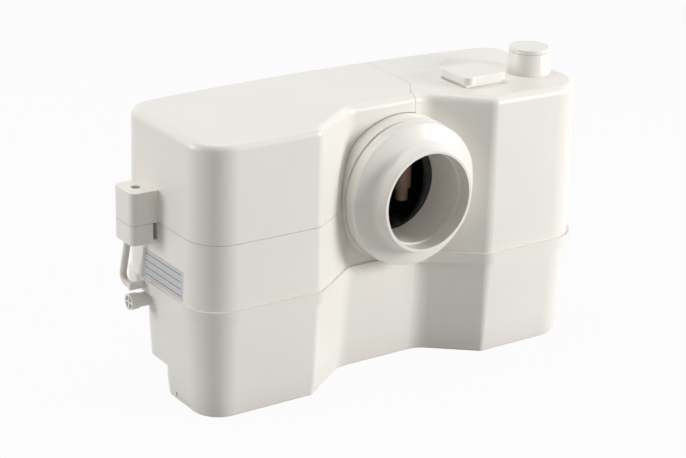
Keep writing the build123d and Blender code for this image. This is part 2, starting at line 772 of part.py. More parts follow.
with BuildPart() as filter_cartridge:
    add(block((well_left + filter_slip, well_front + filter_slip, hatch_low - filter_height),
              (well_right - filter_slip, well_rear - filter_slip, hatch_low)))
save(filter_cartridge.part, "filter_cartridge")

# Pump: column, housing, impeller, and the macerator's knife turning in its slotted ring.
pump_radius = 34.0
pump_skin = 5.5
pump_low = 30.0
pump_top = 72.0
pump_plate = 6.0
outlet_root = 24.0
shaft_hole = 7.0
column_radius = 20.0
column_bore = 16.0
column_flange_radius = 36.0
column_flange = 6.0
bolt_head_radius = 4.2
bolt_head = 3.0
bolt_grip = 7.0
seal_height = 9.0
impeller_radius = 26.5
impeller_low = 42.0
impeller_plate = 3.0
impeller_high = 62.0
hub_radius = 9.0
vane_count = 6
vane_width = 2.5
ring_low = 18.0
ring_radius = 33.0
ring_bore = 27.5
slot_count = 10
slot_width = 5.0
slot_rise = 8.0
knife_low = 21.0
knife_height = 4.0
knife_radius = 26.5
knife_width = 9.0
knife_hub_top = 30.0
nut_height = 4.5
nut_radius = 8.0
shaft_low = 14.0
shaft_top = 236.0
pump_inner = pump_radius - pump_skin

with BuildPart() as pump_housing:
    add(ring(motor_x, motor_y, pump_low, pump_top, pump_radius, pump_inner))
    add(ring(motor_x, motor_y, pump_top - pump_plate, pump_top, pump_radius, shaft_hole))
    extrude(sideways(port_y, run_height, motor_x + outlet_root, pipe_radius), amount=pipe_start - motor_x - outlet_root)
    extrude(sideways(port_y, run_height, motor_x, pipe_bore), amount=pipe_start - motor_x, mode=Mode.SUBTRACT)
    add(ring(motor_x, motor_y, pump_low, pump_top - pump_plate, pump_inner), mode=Mode.SUBTRACT)
save(pump_housing.part, "pump_housing")

with BuildPart() as pump_column:
    add(ring(motor_x, motor_y, pump_top, deck_low, column_radius, column_bore))
    add(ring(motor_x, motor_y, deck_low - column_flange, deck_low, column_flange_radius, column_bore))
    for x, y, _ in bolt_places:
        extrude(disc(x, y, deck_low - column_flange, bolt_shank), amount=column_flange, mode=Mode.SUBTRACT)
save(pump_column.part, "pump_column")

save(ring(motor_x, motor_y, pump_top, pump_top + seal_height, column_bore, shaft_radius + running), "shaft_seal")

with BuildPart() as impeller:
    add(ring(motor_x, motor_y, impeller_low, impeller_high, hub_radius))
    add(ring(motor_x, motor_y, impeller_high - impeller_plate, impeller_high, impeller_radius))
    with BuildSketch(Plane.XY.offset(impeller_low)):
        with Locations((motor_x, motor_y)):
            with PolarLocations(impeller_radius / 2 + slip, vane_count):
                Rectangle(impeller_radius - slip, vane_width)
    extrude(amount=impeller_high - impeller_low)
    add(ring(motor_x, motor_y, impeller_low, impeller_high, shaft_radius), mode=Mode.SUBTRACT)
save(impeller.part, "impeller")

with BuildPart() as cutter_ring:
    add(ring(motor_x, motor_y, ring_low, pump_low, ring_radius, ring_bore))
    with BuildSketch(Plane.XY.offset(ring_low)):
        with Locations((motor_x, motor_y)):
            with PolarLocations(ring_radius, slot_count):
                Rectangle(ring_radius / 2, slot_width)
    extrude(amount=slot_rise, mode=Mode.SUBTRACT)
save(cutter_ring.part, "cutter_ring")

with BuildPart() as cutter_knife:
    add(ring(motor_x, motor_y, knife_low, knife_hub_top, hub_radius))
    with BuildSketch(Plane.XY.offset(knife_low)):
        with Locations((motor_x, motor_y)):
            with PolarLocations(0, 2, angular_range=180):
                Rectangle(knife_radius + knife_radius - knife_width, knife_width)
    extrude(amount=knife_height)
    add(ring(motor_x, motor_y, knife_low, knife_hub_top, shaft_radius), mode=Mode.SUBTRACT)
save(cutter_knife.part, "cutter_knife")

with BuildPart() as knife_nut:
    with BuildSketch(Plane.XY.offset(knife_low - nut_height)):
        with Locations((motor_x, motor_y)):
            RegularPolygon(nut_radius, 6)
    extrude(amount=nut_height)
    add(ring(motor_x, motor_y, knife_low - nut_height, knife_low, shaft_radius), mode=Mode.SUBTRACT)
save(knife_nut.part, "knife_nut")

with BuildPart() as shaft:
    add(ring(motor_x, motor_y, shaft_low, shaft_top, shaft_radius))
    chamfer(shaft.edges().filter_by(GeomType.CIRCLE), length=slip)
save(shaft.part, "shaft")

# Motor: two end shields with bearings hold the housing, stator and rotor on the deck.
motor_radius = 46.0
motor_skin = 2.5
shield_low_top = 168.0
shield_high_low = 230.0
shield_high_top = 240.0
bearing_radius = 15.0
bearing_height = 9.0
bearing_floor = 3.0
stator_low = 175.0
stator_high = 221.0
rotor_radius = 26.0
air_gap = 0.6
winding_radius = 40.0
winding_height = 5.0

with BuildPart() as lower_shield:
    add(ring(motor_x, motor_y, deck_top, shield_low_top, motor_radius, shaft_radius + wall))
    add(ring(motor_x, motor_y, shield_low_top - bearing_height, shield_low_top, bearing_radius), mode=Mode.SUBTRACT)
    for x, y, _ in bolt_places:
        extrude(disc(x, y, deck_top, bolt_shank), amount=bolt_grip, mode=Mode.SUBTRACT)
save(lower_shield.part, "lower_shield")

with BuildPart() as upper_shield:
    add(ring(motor_x, motor_y, shield_high_low, shield_high_top, motor_radius))
    add(ring(motor_x, motor_y, shield_high_low, shield_high_top - bearing_floor, bearing_radius), mode=Mode.SUBTRACT)
    fillet(upper_shield.edges().filter_by(GeomType.CIRCLE).sort_by(Axis.Z)[-1], radius=bearing_floor)
save(upper_shield.part, "upper_shield")

bearing_bore = shaft_radius + running
save(ring(motor_x, motor_y, shield_low_top - bearing_height, shield_low_top, bearing_radius, bearing_bore),
     "lower_bearing")
save(ring(motor_x, motor_y, shield_high_low, shield_high_top - bearing_floor, bearing_radius, bearing_bore),
     "upper_bearing")
save(ring(motor_x, motor_y, shield_low_top, shield_high_low, motor_radius, motor_radius - motor_skin),
     "motor_housing")
save(ring(motor_x, motor_y, stator_low, stator_high, motor_radius - motor_skin, rotor_radius + air_gap),
     "stator_core")
save(ring(motor_x, motor_y, stator_low, stator_high, rotor_radius, shaft_radius), "rotor_core")
winding = ring(motor_x, motor_y, stator_high, stator_high + winding_height, winding_radius,
               rotor_radius + wall)
save(at_places([(0, 0, 0), (0, 0, stator_low - stator_high - winding_height)], winding), "windings")

column_bolt = upright_screw(deck_low - column_flange - bolt_head, bolt_head, bolt_head_radius,
                            column_flange + deck_thickness + bolt_grip, bolt_shank, screw_socket)
save(at_places(bolt_places, column_bolt), "column_bolts")

# Electrics in the dry room: capacitor, circuit board on its holder, and the mains cable's gland.
capacitor_x = -92.0
capacitor_y = 58.0
capacitor_radius = 17.0
capacitor_height = 62.0
clip_high = 176.0
clip_ring = 2.0
board_left = -200.0
board_right = -120.0
board_y = 66.0
board_low = 160.0
board_high = 235.0
holder_thickness = 3.0
board_thickness = 1.6
board_margin = 4.0
gland_nut = 11.0
gland_bore = 3.8
gland_inner = 81.0
gland_outer = 95.6

with BuildPart() as capacitor:
    add(ring(capacitor_x, capacitor_y, deck_top, deck_top + capacitor_height, capacitor_radius))
    fillet(capacitor.edges().filter_by(GeomType.CIRCLE).sort_by(Axis.Z)[-1], radius=clip_ring)
save(capacitor.part, "capacitor")
save(ring(capacitor_x, capacitor_y, clip_high, clip_high + board_margin + board_margin,
          capacitor_radius + clip_ring, capacitor_radius), "capacitor_clip")

with BuildPart() as board_holder:
    add(block((board_left, board_y, deck_top), (board_right, board_y + holder_thickness, board_high)))
    add(block((board_left, board_y - board_margin, deck_top),
              (board_right, board_y, board_low - board_margin)))
save(board_holder.part, "board_holder")

with BuildPart() as control_board:
    add(block((board_left + board_margin, board_y - board_thickness, board_low),
              (board_right - board_margin, board_y, board_high - board_margin)))
save(control_board.part, "control_board")

with BuildPart() as cable_gland:
    skin_rear = rear_face - hood_inset
    extrude(facing(gland_x, gland_z, gland_outer, gland_nut), amount=gland_outer - skin_rear)
    extrude(facing(gland_x, gland_z, gland_outer, gland_hole), amount=gland_outer - gland_inner)
    extrude(facing(gland_x, gland_z, gland_outer, gland_bore), amount=gland_outer - gland_inner,
            mode=Mode.SUBTRACT)
    add(hood_outside - hood_inside, mode=Mode.SUBTRACT)
save(cable_gland.part.solids().sort_by(Axis.Y)[-1], "cable_gland")

# Drain: a cross-ribbed plug in the tank's stub, and the bent hose below the lug with its nipple.
plug_end = -242.0
plug_head = 8.0
plug_rib = 1.6
plug_rib_depth = 2.2
plug_shank = drain_bore_radius - slip
plug_reach = 14.0
hose_radius = 3.4
hose_bore = 2.0
hose_bend = 7.5
hose_x = -238.5
hose_top_y = 49.0
hose_back_y = 61.0
hose_low_z = 106.0
hose_end_y = 44.5
nipple_radius = 2.0

with BuildPart() as drain_plug:
    extrude(sideways(drain_y, drain_z, plug_end, plug_head), amount=drain_boss_out - slip - plug_end)
    with BuildSketch(Plane.YZ.offset(plug_end)):
        with Locations((drain_y, drain_z)):
            Circle(plug_head - plug_rib)
            Rectangle(plug_head * 2, plug_rib, mode=Mode.SUBTRACT)
            Rectangle(plug_rib, plug_head * 2, mode=Mode.SUBTRACT)
    extrude(amount=plug_rib_depth, mode=Mode.SUBTRACT)
    extrude(sideways(drain_y, drain_z, drain_boss_out - slip, plug_shank), amount=plug_reach)
save(drain_plug.part, "drain_plug")

with BuildPart() as drain_hose:
    with BuildLine() as hose_line:
        FilletPolyline((hose_x, hose_top_y, lug_low), (hose_x, hose_back_y, hose_low_z + hose_bend),
                       (hose_x, hose_back_y - hose_radius, hose_low_z), (hose_x, hose_end_y, hose_low_z),
                       radius=[hose_bend, hose_bend])
    with BuildSketch(Plane(origin=hose_line.line @ 0, z_dir=hose_line.line % 0)):
        Circle(hose_radius)
        Circle(hose_bore, mode=Mode.SUBTRACT)
    sweep(path=hose_line.line)
    add(block((hose_x - plug_head, lug_front, lug_low), (hose_x + plug_head, lug_rear + plug_head, seam_height)),
        mode=Mode.SUBTRACT)
save(drain_hose.part, "drain_hose")

nipple_arm_y = hose_end_y - hose_radius
with BuildPart() as hose_nipple:
    add(block((hose_x - hose_radius, nipple_arm_y, hose_low_z - hose_radius),
              (-half_width, hose_end_y, parting_height + hose_radius + hose_bore)))
    extrude(facing(hose_x, hose_low_z, hose_end_y + hose_radius, nipple_radius - slip), amount=hose_radius)
save(hose_nipple.part, "hose_nipple")
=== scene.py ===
"""Dressed model of a macerator toilet pump, in metres, in the frame of its CAD model."""

from math import cos, radians, sin

import bmesh
import bpy
from mathutils import Matrix, Vector


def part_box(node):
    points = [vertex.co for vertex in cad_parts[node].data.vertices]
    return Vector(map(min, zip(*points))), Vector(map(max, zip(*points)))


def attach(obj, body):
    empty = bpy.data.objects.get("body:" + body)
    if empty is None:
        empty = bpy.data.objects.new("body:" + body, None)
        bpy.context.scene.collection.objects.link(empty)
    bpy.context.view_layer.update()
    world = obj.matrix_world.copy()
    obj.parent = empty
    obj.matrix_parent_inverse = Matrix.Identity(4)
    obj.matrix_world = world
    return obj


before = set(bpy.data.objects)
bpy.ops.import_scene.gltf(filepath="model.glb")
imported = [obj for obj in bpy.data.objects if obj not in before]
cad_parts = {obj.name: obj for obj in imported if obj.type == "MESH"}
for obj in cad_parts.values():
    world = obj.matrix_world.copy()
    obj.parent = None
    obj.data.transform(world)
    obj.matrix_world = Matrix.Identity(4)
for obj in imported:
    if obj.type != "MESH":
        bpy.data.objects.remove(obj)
scene = bpy.context.scene
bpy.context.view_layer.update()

# Camera: it looks at the pump from its front left, a little from above, through a long lens,
# and leans by a degree and a half, as a hand-held product shot does.
view_side = radians(34.5)
view_height = radians(20.44)
view_lean = radians(1.52)
view_target = Vector((-0.0283, 0.0, 0.1379))
view_distance = 1.8728
picture_width = 686
focal_pixels = 1912.6
sensor_width = 36.0

camera_back = Vector((-sin(view_side) * cos(view_height), -cos(view_side) * cos(view_height),
                      sin(view_height)))
level_right = Vector((cos(view_side), -sin(view_side), 0.0))
level_up = camera_back.cross(level_right)
camera_right = level_right * cos(view_lean) + level_up * sin(view_lean)
camera_up = level_up * cos(view_lean) - level_right * sin(view_lean)
camera_data = bpy.data.cameras.new("camera")
camera_data.sensor_width = sensor_width
camera_data.lens = sensor_width * focal_pixels / picture_width
camera = bpy.data.objects.new("camera", camera_data)
turn = Matrix((camera_right, camera_up, camera_back)).transposed().to_4x4()
camera.matrix_world = Matrix.Translation(view_target + camera_back * view_distance) @ turn
scene.collection.objects.link(camera)
scene.camera = camera

# Studio: a pale floor that keeps the pump's shadow, a white surround, and three soft lamps.
# The side lamps stand well apart, so that the rounded corner between them turns darker.
scene.view_settings.view_transform = "Standard"
floor_reach = 6.0
floor_tone = (0.55, 0.55, 0.55, 1.0)
floor_lift = 0.95
room_light = 0.26
lamp_plan = {
    "lamp_over": ((-0.2, 0.3, 1.9), 1.6, 17.5),
    "lamp_right": ((1.9, -1.7, 0.65), 1.0, 52.0),
    "lamp_left": ((-2.0, 1.0, 0.6), 1.0, 18.0),
}
lamp_aim = Vector((0.0, 0.0, 0.12))


def seen_directly(nodes, links):
    """Factor that is one for what the camera, a mirror or glass sees, and nought for light."""
    path = nodes.new("ShaderNodeLightPath")
    first = nodes.new("ShaderNodeMath")
    first.operation = "MAXIMUM"
    links.new(path.outputs["Is Camera Ray"], first.inputs[0])
    links.new(path.outputs["Is Glossy Ray"], first.inputs[1])
    second = nodes.new("ShaderNodeMath")
    second.operation = "MAXIMUM"
    links.new(first.outputs[0], second.inputs[0])
    links.new(path.outputs["Is Transmission Ray"], second.inputs[1])
    return second.outputs[0]


floor_mesh = bpy.data.meshes.new("studio_floor")
floor_mesh.from_pydata([(-floor_reach, -floor_reach, 0), (floor_reach, -floor_reach, 0),
                        (floor_reach, floor_reach, 0), (-floor_reach, floor_reach, 0)], [], [(0, 1, 2, 3)])
studio_floor = bpy.data.objects.new("studio_floor", floor_mesh)
scene.collection.objects.link(studio_floor)
floor_paper = bpy.data.materials.new("floor_paper")
floor_paper.use_nodes = True
paper_nodes = floor_paper.node_tree.nodes
paper_links = floor_paper.node_tree.links
paper_nodes.clear()
paper = paper_nodes.new("ShaderNodeBsdfDiffuse")
paper.inputs["Color"].default_value = floor_tone
paper_glow = paper_nodes.new("ShaderNodeEmission")
paper_share = paper_nodes.new("ShaderNodeMath")
paper_share.operation = "MULTIPLY"
paper_share.inputs[1].default_value = floor_lift
paper_mix = paper_nodes.new("ShaderNodeMixShader")
paper_out = paper_nodes.new("ShaderNodeOutputMaterial")
paper_links.new(seen_directly(paper_nodes, paper_links), paper_share.inputs[0])
paper_links.new(paper_share.outputs[0], paper_mix.inputs["Fac"])
paper_links.new(paper.outputs[0], paper_mix.inputs[1])
paper_links.new(paper_glow.outputs[0], paper_mix.inputs[2])
paper_links.new(paper_mix.outputs[0], paper_out.inputs["Surface"])
floor_mesh.materials.append(floor_paper)

surround = bpy.data.worlds.new("surround")
surround.use_nodes = True
world_nodes = surround.node_tree.nodes
world_links = surround.node_tree.links
world_nodes.clear()
dim_sky = world_nodes.new("ShaderNodeBackground")
dim_sky.inputs["Strength"].default_value = room_light
white_sky = world_nodes.new("ShaderNodeBackground")
white_sky.inputs["Color"].default_value = (1.0, 1.0, 1.0, 1.0)
dim_sky.inputs["Color"].default_value = (1.0, 1.0, 1.0, 1.0)
sky_mix = world_nodes.new("ShaderNodeMixShader")
sky_out = world_nodes.new("ShaderNodeOutputWorld")
world_links.new(seen_directly(world_nodes, world_links), sky_mix.inputs["Fac"])
world_links.new(dim_sky.outputs[0], sky_mix.inputs[1])
world_links.new(white_sky.outputs[0], sky_mix.inputs[2])
world_links.new(sky_mix.outputs[0], sky_out.inputs["Surface"])
scene.world = surround

for lamp_name, (lamp_place, lamp_size, lamp_power) in lamp_plan.items():
    lamp_data = bpy.data.lights.new(lamp_name, "AREA")
    lamp_data.shape = "DISK"
    lamp_data.size = lamp_size
    lamp_data.energy = lamp_power
    lamp = bpy.data.objects.new(lamp_name, lamp_data)
    lamp.location = lamp_place
    lamp.rotation_euler = (lamp_aim - lamp.location).to_track_quat("-Z", "Y").to_euler()
    scene.collection.objects.link(lamp)

# Tank, casing, motor cover, collar, hatch and outlet: moulded in one warm white, satin gloss plastic, with
# the fine grain of the mould, slow changes of tone, and painted shade that darkens it towards the floor.
shell_light = (0.86, 0.835, 0.785, 1.0)
shell_deep = (0.84, 0.812, 0.758, 1.0)
# Painted shade: the darker colour that the shell takes near the floor.
shell_floor_shade = (0.74, 0.71, 0.65, 1.0)
floor_shade_height = 0.03
floor_shade_share = 0.35
shell_gloss = (0.27, 0.33)
shell_drift = 9.0
mould_scale = 1400.0
mould_detail = 2.0
mould_relief = 0.03
mould_depth = 0.0001
noise_detail = 5.0
tone_low = 0.32
tone_high = 0.68
shell_pieces = ("tank", "casing", "motor_cover", "inlet_collar", "hatch_cover", "discharge_socket",
                "discharge_cap", "drain_plug", "hose_nipple")


def surface(name, light, deep, gloss, metal=0.0, grain=200.0, stretch=(1.0, 1.0, 1.0), relief=0.2,
            depth=0.0002):
    """Material whose tone, gloss and fine relief follow one noise that is fixed to the piece."""
    material = bpy.data.materials.new(name)
    material.use_nodes = True
    nodes = material.node_tree.nodes
    links = material.node_tree.links
    shader = nodes["Principled BSDF"]
    shader.inputs["Metallic"].default_value = metal
    place = nodes.new("ShaderNodeTexCoord")
    scale = nodes.new("ShaderNodeMapping")
    scale.name = "place"
    scale.inputs["Scale"].default_value = stretch
    links.new(place.outputs["Object"], scale.inputs["Vector"])
    noise = nodes.new("ShaderNodeTexNoise")
    noise.name = "grain"
    noise.inputs["Scale"].default_value = grain
    noise.inputs["Detail"].default_value = noise_detail
    links.new(scale.outputs["Vector"], noise.inputs["Vector"])
    tone = nodes.new("ShaderNodeValToRGB")
    tone.name = "tone"
    tone.color_ramp.elements[0].position = tone_low
    tone.color_ramp.elements[0].color = deep
    tone.color_ramp.elements[1].position = tone_high
    tone.color_ramp.elements[1].color = light
    links.new(noise.outputs["Fac"], tone.inputs["Fac"])
    links.new(tone.outputs["Color"], shader.inputs["Base Color"])
    sheen = nodes.new("ShaderNodeMapRange")
    sheen.inputs["To Min"].default_value = gloss[0]
    sheen.inputs["To Max"].default_value = gloss[1]
    links.new(noise.outputs["Fac"], sheen.inputs["Value"])
    links.new(sheen.outputs["Result"], shader.inputs["Roughness"])
    bump = nodes.new("ShaderNodeBump")
    bump.name = "relief"
    bump.inputs["Strength"].default_value = relief
    bump.inputs["Distance"].default_value = depth
    links.new(noise.outputs["Fac"], bump.inputs["Height"])
    links.new(bump.outputs["Normal"], shader.inputs["Normal"])
    return material


def dress(names, material):
    """Gives CAD nodes one finish; their shapes stay as they are."""
    for name in names:
        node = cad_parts[name]
        if not node.material_slots:
            node.data.materials.append(material)
        for place in node.material_slots:
            place.material = material


shell_plastic = surface("shell_plastic", shell_light, shell_deep, shell_gloss, grain=shell_drift, relief=0.0)
shell_nodes = shell_plastic.node_tree.nodes
shell_links = shell_plastic.node_tree.links
mould_grain = shell_nodes.new("ShaderNodeTexNoise")
mould_grain.inputs["Scale"].default_value = mould_scale
mould_grain.inputs["Detail"].default_value = mould_detail
shell_links.new(shell_nodes["place"].outputs["Vector"], mould_grain.inputs["Vector"])
shell_links.new(mould_grain.outputs["Fac"], shell_nodes["relief"].inputs["Height"])
shell_nodes["relief"].inputs["Strength"].default_value = mould_relief
shell_nodes["relief"].inputs["Distance"].default_value = mould_depth
# Painted shade: over its lowest few centimetres, next to the floor, the shell's colour is mixed towards a
# darker tone.
shell_height = shell_nodes.new("ShaderNodeSeparateXYZ")
shell_links.new(shell_nodes["place"].outputs["Vector"], shell_height.inputs["Vector"])
floor_shade_fade = shell_nodes.new("ShaderNodeMapRange")
floor_shade_fade.inputs["From Min"].default_value = 0.0
floor_shade_fade.inputs["From Max"].default_value = floor_shade_height
floor_shade_fade.inputs["To Min"].default_value = floor_shade_share
floor_shade_fade.inputs["To Max"].default_value = 0.0
shell_links.new(shell_height.outputs["Z"], floor_shade_fade.inputs["Value"])
floor_shade_mix = shell_nodes.new("ShaderNodeMix")
floor_shade_mix.data_type = "RGBA"
floor_shade_mix.inputs["B"].default_value = shell_floor_shade
shell_links.new(floor_shade_fade.outputs["Result"], floor_shade_mix.inputs["Factor"])
shell_links.new(shell_nodes["tone"].outputs["Color"], floor_shade_mix.inputs["A"])
shell_links.new(floor_shade_mix.outputs["Result"], shell_nodes["Principled BSDF"].inputs["Base Color"])
dress(shell_pieces, shell_plastic)

# Inlet collar: where the two halves of its mould met, a fine ridge runs over the flare and the bands
# at half height on the left, and another opposite it on the right.
ridge_rise = 0.00015
ridge_half = 0.0005
collar_low, collar_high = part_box("inlet_collar")
collar_x = (collar_low.x + collar_high.x) / 2
collar_z = (collar_low.z + collar_high.z) / 2
mouth_y = collar_low.y
ridge_profile = ((0.0581, 0.0166), (0.0660, 0.0202), (0.0711, 0.0230), (0.0717, 0.0245), (0.0717, 0.0364))
for ridge_name, ridge_side in (("collar_ridge_left", -1), ("collar_ridge_right", 1)):
    ridge_points = []
    for reach, depth in ridge_profile:
        for step, rise in ((-1, 0.0), (0, ridge_rise), (1, 0.0)):
            ridge_points.append((collar_x + ridge_side * (reach + rise), mouth_y + depth - rise,
                                 collar_z + step * ridge_half))
    ridge_faces = []
    for row in range(len(ridge_profile) - 1):
        for column in range(2):
            corner = row * 3 + column
            strip = (corner, corner + 1, corner + 4, corner + 3)
            ridge_faces.append(strip if ridge_side < 0 else strip[::-1])
    ridge_mesh = bpy.data.meshes.new(ridge_name)
    ridge_mesh.from_pydata(ridge_points, [], ridge_faces)
    ridge_mesh.materials.append(shell_plastic)
    ridge = bpy.data.objects.new(ridge_name, ridge_mesh)
    scene.collection.objects.link(ridge)
    thickness = ridge.modifiers.new("thickness", "SOLIDIFY")
    thickness.thickness = ridge_rise * 2
    thickness.offset = -1.0
    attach(ridge, "box")

# Roof pad: a shallow round plateau at the rear right of the roof, moulded with it. It follows the
# roof's arch, and its edge rolls down into the roof.
pad_x = 0.109
pad_y = 0.084
pad_radius = 0.041
pad_rise = 0.0005
pad_back = 0.083
pad_rings = 12
pad_steps = 48
roof_height = 0.269
roof_arch = 0.008
arch_reach = 0.256
arch_front = -0.102
arch_depth = 0.228
arch_radius = (arch_reach ** 2 + roof_arch ** 2) / (2 * roof_arch)


def roof(x, y):
    """Height of the roof's arched surface at a place."""
    rise = (arch_radius ** 2 - x ** 2) ** 0.5 - (arch_radius - roof_arch)
    return roof_height + rise * (y - arch_front) / arch_depth


pad_form = bmesh.new()
pad_rows = []
for ring in range(1, pad_rings + 1):
    reach = pad_radius * ring / pad_rings
    lift = pad_rise if ring < pad_rings else -pad_rise
    row = []
    for step in range(pad_steps + 1):
        angle = radians(180) + radians(180) * step / pad_steps
        x = pad_x + reach * cos(angle)
        y = min(pad_y + reach * sin(angle), pad_back)
        row.append(pad_form.verts.new((x, y, roof(x, y) + lift)))
    pad_rows.append(row)
for inner, outer in zip(pad_rows, pad_rows[1:]):
    for step in range(pad_steps):
        pad_form.faces.new((inner[step], outer[step], outer[step + 1], inner[step + 1]))
pad_form.faces.new(pad_rows[0])
bmesh.ops.recalc_face_normals(pad_form, faces=pad_form.faces[:])
if pad_form.faces[0].normal.z < 0:
    bmesh.ops.reverse_faces(pad_form, faces=pad_form.faces[:])
for face in pad_form.faces:
    face.smooth = True
pad_mesh = bpy.data.meshes.new("roof_pad")
pad_form.to_mesh(pad_mesh)
pad_form.free()
pad_mesh.materials.append(shell_plastic)
roof_pad = bpy.data.objects.new("roof_pad", pad_mesh)
scene.collection.objects.link(roof_pad)
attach(roof_pad, "box")

# Seals and sleeves: black rubber rings, strips, flap and pipe sleeves, matt and slightly bloomed
# with a grey film, as rubber that has stood in a damp box turns.
rubber_pieces = ("tank_gasket", "cover_gasket", "inlet_gasket", "pipe_sleeves", "shaft_seal", "valve_flap")
seal_rubber = surface("seal_rubber", (0.035, 0.034, 0.033, 1), (0.014, 0.013, 0.013, 1), (0.55, 0.8),
                      grain=350.0, relief=0.3)
dress(rubber_pieces, seal_rubber)

# Splash hood, board holder and cable gland: black moulded plastic with a faint eggshell grain; the hood
# stands right behind the inlet, and its black is painted shade for the unlit inside of the tank seen through
# the inlet.
black_pieces = ("splash_hood", "board_holder", "cable_gland")
black_moulding_and_shade = surface("black_moulding_and_shade", (0.022, 0.018, 0.017, 1), (0.010, 0.008, 0.008, 1), (0.35, 0.5),
                         grain=600.0, relief=0.15)
# Painted shade: on the splash hood this black stands in for the dark, unlit inside of the tank; on the
# holder, gland and board parts it is their own colour.
dress(black_pieces, black_moulding_and_shade)

# Level tube and impeller: brown phenolic mouldings, mottled by their flow, with a dull shine.
# The tube hangs from the roof of the inlet chamber, and its tip shows through the inlet.
brown_pieces = ("level_tube", "impeller")
brown_moulding = surface("brown_moulding", (0.23, 0.15, 0.10, 1), (0.13, 0.08, 0.055, 1), (0.35, 0.55),
                         grain=90.0, stretch=(1, 1, 0.3), relief=0.15)
dress(brown_pieces, brown_moulding)

# Pump housing, column, pipes, valve, switch and capacitor can: mid grey plastic, matt, with the
# light streaks that glass fibre leaves along the flow.
grey_pieces = ("pump_housing", "pump_column", "discharge_pipe", "discharge_riser", "valve_body",
               "pressure_switch", "capacitor")
grey_moulding = surface("grey_moulding", (0.19, 0.195, 0.20, 1), (0.12, 0.123, 0.128, 1), (0.45, 0.65),
                        grain=160.0, stretch=(1, 1, 0.25), relief=0.25)
dress(grey_pieces, grey_moulding)

# Drain hose: soft white vinyl, slightly yellowed and cloudy, with light passing through its skin.
# It runs from the lug down to a nipple on the casing, and is held at both ends.
vinyl_glow = 0.2
vinyl_reach = 0.002
hose_pieces = ("drain_hose",)
hose_vinyl = surface("hose_vinyl", (0.78, 0.76, 0.70, 1), (0.70, 0.67, 0.58, 1), (0.3, 0.45), grain=120.0,
                     relief=0.1)
hose_shader = hose_vinyl.node_tree.nodes["Principled BSDF"]
hose_shader.inputs["Subsurface Weight"].default_value = vinyl_glow
hose_shader.inputs["Subsurface Scale"].default_value = vinyl_reach
dress(hose_pieces, hose_vinyl)

# Filter: a block of open carbon foam, clipped under the hatch, which lets the tank breathe.
# Its open cells show as a fine pattern of edges and pits.
foam_cell = 900.0
foam_relief = 0.7
foam_depth = 0.0006
filter_foam = surface("filter_foam", (0.045, 0.045, 0.045, 1), (0.012, 0.012, 0.012, 1), (0.85, 1.0),
                      relief=0.0)
foam_nodes = filter_foam.node_tree.nodes
foam_links = filter_foam.node_tree.links
foam_cells = foam_nodes.new("ShaderNodeTexVoronoi")
foam_cells.feature = "DISTANCE_TO_EDGE"
foam_cells.inputs["Scale"].default_value = foam_cell
foam_links.new(foam_nodes["place"].outputs["Vector"], foam_cells.inputs["Vector"])
foam_links.new(foam_cells.outputs["Distance"], foam_nodes["relief"].inputs["Height"])
foam_links.new(foam_cells.outputs["Distance"], foam_nodes["tone"].inputs["Fac"])
foam_nodes["relief"].inputs["Strength"].default_value = foam_relief
foam_nodes["relief"].inputs["Distance"].default_value = foam_depth
dress(("filter_cartridge",), filter_foam)

# Screws, bolts, clips, pins, shaft, bearings, cutter ring and knife: bright turned and stamped
# steel, brushed round their axes, with duller patches where hands and water reached.
steel_pieces = ("cover_screw", "tank_screws", "valve_screws", "column_bolts", "hose_clips", "flap_pin",
                "capacitor_clip", "shaft", "lower_bearing", "upper_bearing", "cutter_ring", "cutter_knife",
                "knife_nut")
turned_steel = surface("turned_steel", (0.62, 0.62, 0.61, 1), (0.42, 0.42, 0.41, 1), (0.22, 0.42), metal=1.0,
                       grain=300.0, stretch=(1, 1, 8), relief=0.12)
dress(steel_pieces, turned_steel)

# Stator and rotor cores: stacks of thin steel sheets, pressed together into the housing and
# on to the shaft; the sheets' edges show as fine level lines.
sheet_lines = 300.0
sheet_waver = 0.3
sheet_relief = 0.4
stacked_steel = surface("stacked_steel", (0.30, 0.30, 0.31, 1), (0.12, 0.12, 0.13, 1), (0.35, 0.55),
                        metal=1.0,
                        relief=0.0)
stack_nodes = stacked_steel.node_tree.nodes
stack_links = stacked_steel.node_tree.links
stack_wave = stack_nodes.new("ShaderNodeTexWave")
stack_wave.bands_direction = "Z"
stack_wave.inputs["Scale"].default_value = sheet_lines
stack_wave.inputs["Distortion"].default_value = sheet_waver
stack_links.new(stack_nodes["place"].outputs["Vector"], stack_wave.inputs["Vector"])
stack_links.new(stack_wave.outputs["Fac"], stack_nodes["tone"].inputs["Fac"])
stack_links.new(stack_wave.outputs["Fac"], stack_nodes["relief"].inputs["Height"])
stack_nodes["relief"].inputs["Strength"].default_value = sheet_relief
dress(("stator_core", "rotor_core"), stacked_steel)

# Windings: enamelled copper wire, laid round the cores in turns that show as fine rings
# about the motor's shaft.
wire_pitch = 1100.0 / 3
wire_relief = 0.6
shaft_low, shaft_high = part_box("shaft")
shaft_middle = (shaft_low + shaft_high) / 2
wound_copper = surface("wound_copper", (0.45, 0.17, 0.07, 1), (0.20, 0.06, 0.02, 1), (0.25, 0.4), metal=0.9,
                       relief=0.0)
wound_nodes = wound_copper.node_tree.nodes
wound_links = wound_copper.node_tree.links
wound_wave = wound_nodes.new("ShaderNodeTexWave")
wound_wave.wave_type = "RINGS"
wound_wave.rings_direction = "Z"
wound_wave.inputs["Scale"].default_value = wire_pitch
wound_nodes["place"].inputs["Location"].default_value = (-shaft_middle.x, -shaft_middle.y, 0.0)
wound_links.new(wound_nodes["place"].outputs["Vector"], wound_wave.inputs["Vector"])
wound_links.new(wound_wave.outputs["Fac"], wound_nodes["tone"].inputs["Fac"])
wound_links.new(wound_wave.outputs["Fac"], wound_nodes["relief"].inputs["Height"])
wound_nodes["relief"].inputs["Strength"].default_value = wire_relief
dress(("windings",), wound_copper)

